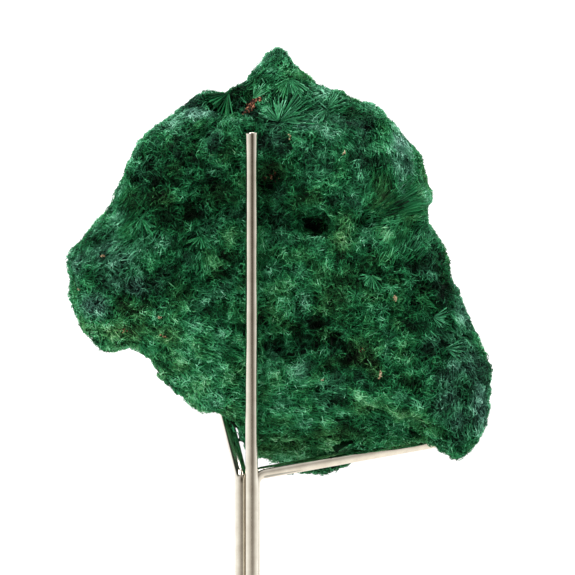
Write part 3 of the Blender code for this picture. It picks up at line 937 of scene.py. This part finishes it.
# sheets of straight fibres: X and Z of the point that they run from, then for each sheet its first
# and last angle in degrees, where it starts and ends in mm from the point, tone, tint with painted
# sheen and height over the surface
sheets = (
    ((-4.8, 133.4), (  # fan of folded blades
        (181, 190, 0.2, 6.3, 0.24, 0.0, 0.0),
        (190, 196, 0.2, 6.1, 0.42, 0.0, 0.1),
        (196, 200, 0.2, 6.0, 0.28, 0.0, 0.1),
        (200, 205, 0.2, 5.8, 0.54, 0.0, 0.2),
        (205, 210, 0.2, 5.7, 0.34, 0.0, 0.1),
        (211, 218, 0.2, 5.4, 0.58, 0.0, 0.3),
        (218, 222, 0.2, 5.4, 0.36, 0.0, 0.2),
        (224, 229, 0.2, 5.3, 0.46, 0.0, 0.2),
        (239, 241, 0.2, 5.8, 0.38, 0.0, 0.2),
        (248, 250, 0.2, 5.8, 0.44, 0.0, 0.2),
        (259, 264, 0.2, 6.2, 0.56, 0.0, 0.3),
        (265, 269, 0.2, 6.0, 0.38, 0.0, 0.2),
        (277, 279, 0.2, 5.8, 0.60, 0.1, 0.3),
    )),
    ((-2.4, 132.6), (
        (308, 309, 0.2, 2.2, 0.66, 0.2, 0.4),
    )),
    ((-1.6, 132.0), (
        (306, 307, 0.2, 1.8, 0.56, 0.2, 0.4),
    )),
    ((27.6, 102.6), (  # columns
        (6, 14, 3.0, 15.8, 0.44, -0.05, 0.1),
        (14, 20, 5.0, 16.8, 0.50, 0.05, 0.3),
        (20, 22, 5.0, 11.0, 0.16, 0.00, 0.2),
        (22, 26, 4.0, 17.2, 0.52, 0.05, 0.4),
        (26, 27, 6.0, 10.0, 0.14, 0.00, 0.3),
        (27, 33, 4.0, 16.8, 0.48, 0.05, 0.4),
        (33, 44, 3.0, 15.6, 0.42, 0.00, 0.3),
        (11, 12, 5.0, 8.5, 0.02, 0.00, 0.5),  # slits between them, near-black as painted shade
        (17, 18, 5.5, 10.0, 0.02, 0.00, 0.6),
        (23, 24, 6.5, 11.5, 0.02, 0.00, 0.6),
        (28, 29, 7.5, 11.0, 0.04, 0.00, 0.6),
    )),
)
# the fan of blades as one spray: X, Z, reach, first and last angle
bladeFan = (-4.8, 133.4, 6.2, 180, 290)
sheetLook = {
    "step": 0.24,  # mm between fibres at their far ends
    "layers": 3,
    "stray": 0.004, "heightStray": 0.1,  # radians, mm
    "startSpread": 0.45, "endSpread": 0.22,  # shares of the length by which their ends differ
    "width": (0.20, 0.36), "rootShare": 0.55,
    "toneSpread": 0.06, "tintAndSheenSpread": 0.06, "rootShade": 0.10,
}


front = {"before": -30, "rim": 12}  # Y in mm, before the stone and about where its rim lies


def frontSpot(x, z):
    # the front surface at a place of the photograph, in mm
    place, normal, _, _ = solid.ray_cast(Vector((x, front["before"], z)) * mm, Vector((0, 1, 0)))
    if place is None:
        place, normal, _, _ = solid.find_nearest(Vector((x, front["rim"], z)) * mm)
    return np.array(place / mm), np.array(normal)


def laySpray(x, z, angles, ends, width, tone, tintAndSheen, low, high):
    # thin fibres from the middle of a spray to the ends of its rays
    look = sprayLook
    centre, normal = frontSpot(x, z)
    count = len(angles)
    lengths = ends * draw.uniform(*look["end"], count)
    tips = np.empty((count, 3))
    for row in range(count):
        tipX = x + lengths[row] * math.cos(angles[row])
        tipZ = z + lengths[row] * math.sin(angles[row])
        place, outward = frontSpot(tipX, tipZ)
        tips[row] = place + outward * high * draw.uniform(*look["tipRise"])
    roots = centre + normal * low + draw.normal(0, look["rootSpread"], (count, 3))
    roots += (tips - roots) * draw.uniform(*look["start"], count)[:, None]
    widths = width * look["rootShare"] * draw.uniform(*look["widthStray"], count)
    fibres.addVaried(look, roots, tips, widths, tone, tintAndSheen, 1 / look["rootShare"])


def laySprays():
    look = sprayLook
    for x, z, reach, first, last, rays, width, tone, tintAndSheen, low, high in sprays:
        step = (last - first) / rays
        even = np.linspace(first + step / 2, last - step / 2, rays)
        even += draw.normal(0, look["rayStray"] * step, rays)
        angles = np.repeat(even, look["perRay"])
        angles += draw.normal(0, look["stray"], len(angles))
        ends = np.repeat(reach * draw.uniform(*look["rayReach"], rays), look["perRay"])
        laySpray(x, z, np.radians(angles), ends, width, tone, tintAndSheen, low, high)
        dim = np.radians(draw.uniform(first, last, rays * look["between"]))
        laySpray(x, z, dim, np.full(len(dim), look["dimReach"] * reach), width * look["dimWidth"],
                 tone + look["dimShade"], tintAndSheen, low - look["dimRootSink"], high - look["dimTipSink"])


def laySheet(source, first, last, near, far, tone, tintAndSheen, height):
    look = sheetLook
    arc = math.radians(last - first) * far
    count = look["layers"] * max(2, int(arc / look["step"]))
    angles = np.radians(np.linspace(first, last, count)) + draw.normal(0, look["stray"], count)
    starts = near + (far - near) * draw.uniform(0, look["startSpread"], count)
    ends = far - (far - near) * draw.uniform(0, look["endSpread"], count)
    ways = np.column_stack([np.cos(angles), np.sin(angles)])
    roots, tips = np.empty((count, 3)), np.empty((count, 3))
    for row, way in enumerate(ways):
        for target, much in ((roots, starts), (tips, ends)):
            place, outward = frontSpot(*(source + way * much[row]))
            rise = height + draw.uniform(-look["heightStray"], look["heightStray"])
            target[row] = place + outward * rise
    widths = look["rootShare"] * draw.uniform(*look["width"], count)
    fibres.addVaried(look, roots, tips, widths, tone, tintAndSheen, 1 / look["rootShare"])


for layer in feltLayers:
    growFelt(layer)
print("felt grown")
laySprays()
for source, group in sheets:
    for sheet in group:
        laySheet(source, *sheet)
print("sprays laid")


# stand
stand = {
    "rodRadius": 1.5,
    "rodSides": 48,
    "bendRadius": 2.8,
    "bendSteps": 12,
    "endRound": 0.3,
    "calm": 0.8,  # mm from each end of a straight part to the ring that keeps its shading straight
    "footZ": 3.3,
    "bundleTurn": 21.0, "bundleRadius": 1.8764,  # degrees, mm from the bundle's axis to a rod's
    "supportTurn": -90, "supportTop": 123.5,
    "leftTurn": 150, "leftBend": 41.0,
    "leftRest": (-10.0, 30.0, 71.5), "leftTip": (-11.0, 33.5, 81.0),
    "rightTurn": 30, "rightBend": 41.2,
    "rightRest": (47.5, 24.0, 48.9), "rightTip": (48.8, 25.2, 58.5),
}


def roundedRoute(corners):
    # a line through corners, with its bends as arcs
    radius = stand["bendRadius"]
    corners = [Vector(corner) for corner in corners]
    points = [corners[0]]
    for before, corner, after in zip(corners, corners[1:], corners[2:]):
        back = (before - corner).normalized()
        onward = (after - corner).normalized()
        half = back.angle(onward) / 2
        centre = corner + (back + onward).normalized() * radius / math.sin(half)
        start = (corner + back * radius / math.tan(half) - centre).normalized()
        end = (corner + onward * radius / math.tan(half) - centre).normalized()
        for step in range(stand["bendSteps"] + 1):
            points.append(centre + start.slerp(end, step / stand["bendSteps"]) * radius)
    points.append(corners[-1])
    return points


def stemPlace(rod, height):
    # the axis of a rod of the bundle at a height
    angle = math.radians(stand[rod + "Turn"] + stand["bundleTurn"])
    return Vector((math.cos(angle), math.sin(angle), 0)) * stand["bundleRadius"] + Vector((0, 0, height))


def armRoute(arm):
    # up from the foot, out under the stone and up again at its tip
    low, bend = stemPlace(arm, stand["footZ"]), stemPlace(arm, stand[arm + "Bend"])
    return roundedRoute([low, bend, stand[arm + "Rest"], stand[arm + "Tip"]])


routes = {
    "support_rod": [stemPlace("support", stand["footZ"]), stemPlace("support", stand["supportTop"])],
    "left_arm": armRoute("left"),
    "right_arm": armRoute("right"),
}


def withCalmEnds(route):
    # adds places close to both ends of every long straight part
    points = [route[0]]
    for before, after in zip(route, route[1:]):
        step = (after - before).normalized() * stand["calm"]
        if (after - before).length > 4 * stand["calm"]:
            points += [before + step, after - step]
        points.append(after)
    return points


def sweepRod(name, route):
    # a round bar drawn along its route, with softly rounded ends
    bm = bmesh.new()
    route = withCalmEnds(route)
    radius = stand["rodRadius"] * mm
    ring = bmesh.ops.create_circle(bm, segments=stand["rodSides"], radius=radius)["verts"]
    headings = []
    for row in range(len(route)):
        before, after = route[max(row - 1, 0)], route[min(row + 1, len(route) - 1)]
        headings.append((after - before).normalized())
    turn = Vector((0, 0, 1)).rotation_difference(headings[0]).to_matrix()
    bmesh.ops.rotate(bm, verts=ring, cent=(0, 0, 0), matrix=turn)
    bmesh.ops.translate(bm, verts=ring, vec=route[0] * mm)
    edges = bm.edges[:]
    for row in range(1, len(route)):
        made = bmesh.ops.extrude_edge_only(bm, edges=edges)["geom"]
        ring = [item for item in made if isinstance(item, bmesh.types.BMVert)]
        edges = [
            item for item in made
            if isinstance(item, bmesh.types.BMEdge) and all(v in ring for v in item.verts)]
        turn = headings[row - 1].rotation_difference(headings[row]).to_matrix()
        bmesh.ops.rotate(bm, verts=ring, cent=route[row - 1] * mm, matrix=turn)
        bmesh.ops.translate(bm, verts=ring, vec=(route[row] - route[row - 1]) * mm)
    caps = bmesh.ops.holes_fill(bm, edges=[e for e in bm.edges if e.is_boundary])["faces"]
    rims = [edge for face in caps for edge in face.edges]
    bmesh.ops.bevel(bm, geom=rims, offset=stand["endRound"] * mm, segments=3, profile=0.5,
                    affect="EDGES", material=-1)
    addPiece(name + "_drawn", meshFrom(bm, name), rodSteel, name)


for name, route in routes.items():
    sweepRod(name, route)

base = {
    "profile": (  # radius and height, from the bore outwards
        (0, 3.0), (3.676, 3.0), (3.676, 13.5), (6.9, 13.5), (7.5, 12.9), (7.5, 8.4), (8.9, 7.0),
        (38.8, 5.0), (40.0, 3.8), (40.0, 0.6), (39.4, 0), (0, 0),
    ),
    "steps": 128,
    "soften": 0.35,
    "weld": 0.000005,
}


def turnBase():
    bm = bmesh.new()
    spots = [bm.verts.new((radius * mm, 0, height * mm)) for radius, height in base["profile"]]
    edges = [bm.edges.new(pair) for pair in zip(spots, spots[1:])]
    bmesh.ops.bevel(bm, geom=spots[1:-1], offset=base["soften"] * mm, segments=3, profile=0.5,
                    affect="VERTICES", material=-1)
    bmesh.ops.spin(bm, geom=bm.verts[:] + bm.edges[:], cent=(0, 0, 0), axis=(0, 0, 1),
                   angle=2 * math.pi, steps=base["steps"], use_merge=True)
    bmesh.ops.remove_doubles(bm, verts=bm.verts, dist=base["weld"])
    addPiece("base_turned", meshFrom(bm, "base"), footSteel, "base")


turnBase()
print("stand ready")


# fibres become meshes
fibrePieces = {
    "count": 6,
    # painted light: how much lighter a fibre is at its tip
    "litTipTone": 0.04,
    "thickness": 0.003,  # half the width of a fibre on the palette
    "rodRoom": 0.2,  # mm kept free round the rods
    "tested": (0.3, 0.55, 0.8, 1.0),  # shares of a fibre's length where that is looked at
}


def distanceToRoute(points, route):
    nearest = np.full(len(points), np.inf)
    for start, end in zip(route, route[1:]):
        start, end = np.array(start), np.array(end)
        along = end - start
        share = np.clip((points - start) @ along / (along @ along), 0, 1)
        away = np.linalg.norm(points - start - share[:, None] * along, axis=1)
        nearest = np.minimum(nearest, away)
    return nearest


def clearOfRods(table):
    room = stand["rodRadius"] + fibrePieces["rodRoom"]
    free = np.ones(len(table), bool)
    for route in routes.values():
        for share in fibrePieces["tested"]:
            points = table[:, :3] + share * (table[:, 3:6] - table[:, :3])
            free &= distanceToRoute(points, route) > room
    return table[free]


def fibreMesh(name, table):
    # each fibre is a long wedge-ended crystal: an edge at the root and one across it at the tip
    look = fibrePieces
    count = len(table)
    roots, tips, width = table[:, :3], table[:, 3:6], table[:, 6:7]
    tone, tintAndSheen, rootShade, narrowing = table[:, 7], table[:, 8], table[:, 9], table[:, 10:]
    one, other = sideways(unit(tips - roots))
    turn = draw.uniform(0, math.pi, count)[:, None]
    atRoot = (one * np.cos(turn) + other * np.sin(turn)) * width / 2
    atTip = (other * np.cos(turn) - one * np.sin(turn)) * width * narrowing / 2
    corners = np.stack([roots - atRoot, roots + atRoot, tips - atTip, tips + atTip], 1)
    facets = np.array([[0, 1, 2], [1, 0, 3], [2, 3, 0], [3, 2, 1]])
    loops = (np.arange(count)[:, None, None] * 4 + facets).ravel()
    mesh = bpy.data.meshes.new(name)
    mesh.vertices.add(count * 4)
    mesh.vertices.foreach_set("co", (corners * mm).astype(np.float32).ravel())
    mesh.loops.add(count * 12)
    mesh.loops.foreach_set("vertex_index", loops.astype(np.int32))
    mesh.polygons.add(count * 4)
    mesh.polygons.foreach_set("loop_start", np.arange(0, count * 12, 3, dtype=np.int32))
    mesh.update()
    # each fibre is painted darker at the root as shade and lighter at the tip as light
    shadedRootTone, band = onPalette(tone - rootShade, tintAndSheen)
    litTipTone = onPalette(tone + look["litTipTone"], tintAndSheen)[0]
    thick = look["thickness"]
    places = np.empty((count, 4, 3, 2))
    for facet, numbers in enumerate(facets):
        for corner, number in enumerate(numbers):
            places[:, facet, corner, 0] = shadedRootTone if number < 2 else litTipTone
            places[:, facet, corner, 1] = band + (thick if number % 2 else -thick)
    layer = mesh.uv_layers.new(name="OFBake")
    layer.uv.foreach_set("vector", places.astype(np.float32).ravel())
    addPiece(name, mesh, green, "malachite", smooth=False)


def makeFibrePieces():
    table = clearOfRods(fibres.table())
    middle = table[:, :3].mean(0)
    angle = np.arctan2(table[:, 2] - middle[2], table[:, 0] - middle[0])
    order = np.argsort(angle, kind="stable")
    groups = np.array_split(order, fibrePieces["count"])
    for number, group in enumerate(groups, 1):
        fibreMesh("malachite_fibres_%d" % number, table[group])
    print("fibres:", len(table), "in groups of", len(groups[0]))


makeFibrePieces()


# grains of other minerals: X, Z, half length, half width, tilt in degrees, number of crumbs, crumb
# size, depth
oxideGrains = (
    (0.8, 130.9, 2.9, 0.75, 47, 130, 0.30, 0.3),  # iron oxide in the cavity at the top
    (6.1, 112.6, 1.8, 1.2, 0, 18, 0.24, 0.9),
    (27.0, 70.8, 0.6, 0.4, 20, 7, 0.22, 0.3),
    (-20.3, 74.2, 1.6, 0.5, -20, 9, 0.20, 0.2),
    (-30.5, 75.9, 1.4, 0.5, -10, 9, 0.20, 0.2),
)
tanGrains = (
    (35.3, 83.6, 0.6, 0.40, 70, 14, 0.26, 0.0),
    (31.7, 65.0, 0.9, 0.35, 85, 14, 0.24, 0.1),
    (-35.1, 93.8, 0.8, 0.30, 10, 9, 0.22, 0.1),
    (-21.5, 79.0, 0.7, 0.35, 10, 8, 0.20, 0.1),
    (-41.4, 85.8, 0.4, 0.25, 0, 5, 0.20, 0.1),
    (23.0, 118.7, 0.4, 0.35, 40, 6, 0.22, 0.1),
    (9.9, 122.8, 0.3, 0.45, 0, 6, 0.22, 0.1),
    (17.7, 64.0, 0.6, 0.22, 15, 6, 0.18, 0.1),
)
crumb = {  # shares by which crumbs differ
    "spread": 0.5, "sink": (0.6, 1.2), "radius": (0.6, 1.3),
    "dents": (0.72, 1.2), "stretch": (0.6, 1.3),
}


def makeGrains(name, grains, material):
    bm = bmesh.new()
    for x, z, along, across, tilt, count, size, depth in grains:
        turn = math.radians(tilt)
        for _ in range(count):
            one, other = draw.normal(0, crumb["spread"], 2) * (along, across)
            placeX = x + one * math.cos(turn) - other * math.sin(turn)
            placeZ = z + one * math.sin(turn) + other * math.cos(turn)
            place, outward = frontSpot(placeX, placeZ)
            place = place - outward * depth * draw.uniform(*crumb["sink"])
            radius = size * draw.uniform(*crumb["radius"])
            made = bmesh.ops.create_icosphere(bm, subdivisions=1, radius=radius * mm)["verts"]
            for vert in made:
                vert.co *= draw.uniform(*crumb["dents"])
            bmesh.ops.scale(bm, verts=made, vec=draw.uniform(*crumb["stretch"], 3))
            bmesh.ops.translate(bm, verts=made, vec=Vector(place) * mm)
    addPiece(name, meshFrom(bm, name), material, "malachite", smooth=False)


makeGrains("iron_oxide_grains", oxideGrains, oxide)
makeGrains("tan_grains", tanGrains, tan)
print("grains ready")


# room, light and camera
studio = {
    # the room from the camera's side to behind, as rods mirror it
    "mirrored": ((0.0, (0.058, 0.048, 0.034)), (0.008, (0.10, 0.085, 0.062)),
                 (0.058, (0.36, 0.33, 0.29)), (0.165, (0.68, 0.66, 0.62)),
                 (0.32, (0.92, 0.91, 0.86)), (0.53, (1.15, 1.14, 1.08)), (1.0, (1.3, 1.3, 1.3))),
    "slant": 0.11, "shift": 0.01,  # how far the room is turned to the left, and moved on
    "lighting": ((0.0, 0.35), (0.26, 0.75), (0.52, 1.15), (1.0, 1.4)),  # its strength as light
    "table": (1.20, 1.13, 1.02, 1),  # pale table, mirrored by what faces down to it
    "tableShares": ((0.0165, 0.0), (0.045, 0.40), (0.27, 0.44), (0.50, 1.0)),
    "tableSides": 0.75,  # how far it gives way to the room at the left and right
    "stone": (0.030, 0.038, 0.028, 1), "stoneFrom": 0.48, "stoneGain": 6.0,  # painted reflection of the stone: dark green overhead in the room, seen only in mirrors
    "stoneSlant": 0.35,
    "backdrop": 1.3,
    "floorSize": (4.0, 4.0, 1), "floorMiddle": (0, 1.25, 0),
    "floorShader": {
        "Base Color": (0.95, 0.95, 0.95, 1), "Roughness": 0.9, "Specular IOR Level": 0.1,
        "Emission Color": (1, 1, 1, 1), "Emission Strength": 0.06,
    },
    "keyPower": 9.0, "keyAt": (-0.5, -0.7, 0.9), "keySize": 0.6,
    "topPower": 8.0, "topAt": (0.1, 0.1, 1.1), "topSize": 0.8,
    "aim": (0.01, 0.02, 0.09),
}
camera = {
    "lens": 420.0, "sensor": 36, "clip": (0.05, 50),
    "at": (0.0093, 0.008 - 1.6237, 0.0862),
}


def makeSky():
    # a soft room, dim on the side of the camera and bright at the sides, behind and above
    world = bpy.data.worlds.new("paleRoom")
    bpy.context.scene.world = world
    world.use_nodes = True
    fin = Room(world)
    way = fin.node("SeparateXYZ", None, {0: fin.node("TexCoord").outputs["Generated"]})
    across, along, up = (Value(fin, socket) for socket in way.outputs)
    share = along * 0.5 + 0.5
    rays = fin.node("LightPath")
    overTable = Value(fin, fin.strengths(0 - up, studio["tableShares"]))
    overTable = overTable * (1 - across * across * studio["tableSides"])
    stoneReflection = (up - across * studio["stoneSlant"] - studio["stoneFrom"]) * studio["stoneGain"]
    colour = fin.ramp(share - across * studio["slant"] + studio["shift"], studio["mirrored"])
    colour = fin.mix(overTable, colour, studio["table"])
    colour = fin.mix(stoneReflection.clamped(), colour, studio["stone"])
    glossy = Value(fin, rays.outputs["Is Glossy Ray"])
    seen = Value(fin, rays.outputs["Is Camera Ray"])
    fin.feed(fin.shader.inputs["Color"], fin.mix(glossy, (1, 1, 1, 1), colour))
    lighting = Value(fin, fin.strengths(share, studio["lighting"]))
    strength = lighting + glossy * (1 - lighting)
    strength = strength + seen * (studio["backdrop"] - strength)
    fin.feed(fin.shader.inputs["Strength"], strength)


def makeFloor():
    bm = bmesh.new()
    bmesh.ops.create_grid(bm, x_segments=1, y_segments=1, size=0.5)
    bmesh.ops.scale(bm, verts=bm.verts, vec=studio["floorSize"])
    bmesh.ops.translate(bm, verts=bm.verts, vec=studio["floorMiddle"])
    mesh = meshFrom(bm, "floor")
    mesh.materials.append(Finish("paleFloor", studio["floorShader"]).material)
    floor = bpy.data.objects.new("floor", mesh)
    bpy.context.scene.collection.objects.link(floor)
    floor.visible_glossy = False  # the rods mirror the room, down to its own pale ground


def makeLights():
    for name in ("key", "top"):
        light = bpy.data.lights.new(name, "AREA")
        light.energy = studio[name + "Power"]
        light.size = studio[name + "Size"]
        lamp = bpy.data.objects.new(name, light)
        lamp.location = studio[name + "At"]
        aim = Vector(studio["aim"]) - lamp.location
        lamp.rotation_euler = aim.to_track_quat("-Z", "Y").to_euler()
        bpy.context.scene.collection.objects.link(lamp)


def makeCamera():
    lens = bpy.data.cameras.new("camera")
    lens.lens = camera["lens"]
    lens.sensor_width = camera["sensor"]
    lens.clip_start, lens.clip_end = camera["clip"]
    view = bpy.data.objects.new("camera", lens)
    view.location = camera["at"]
    view.rotation_euler = (math.radians(90), 0, 0)
    bpy.context.scene.collection.objects.link(view)
    bpy.context.scene.camera = view


makeFloor()
makeSky()
makeLights()
makeCamera()
bpy.context.scene.view_settings.view_transform = "Standard"
bpy.context.scene.view_settings.look = "None"
print("studio ready")
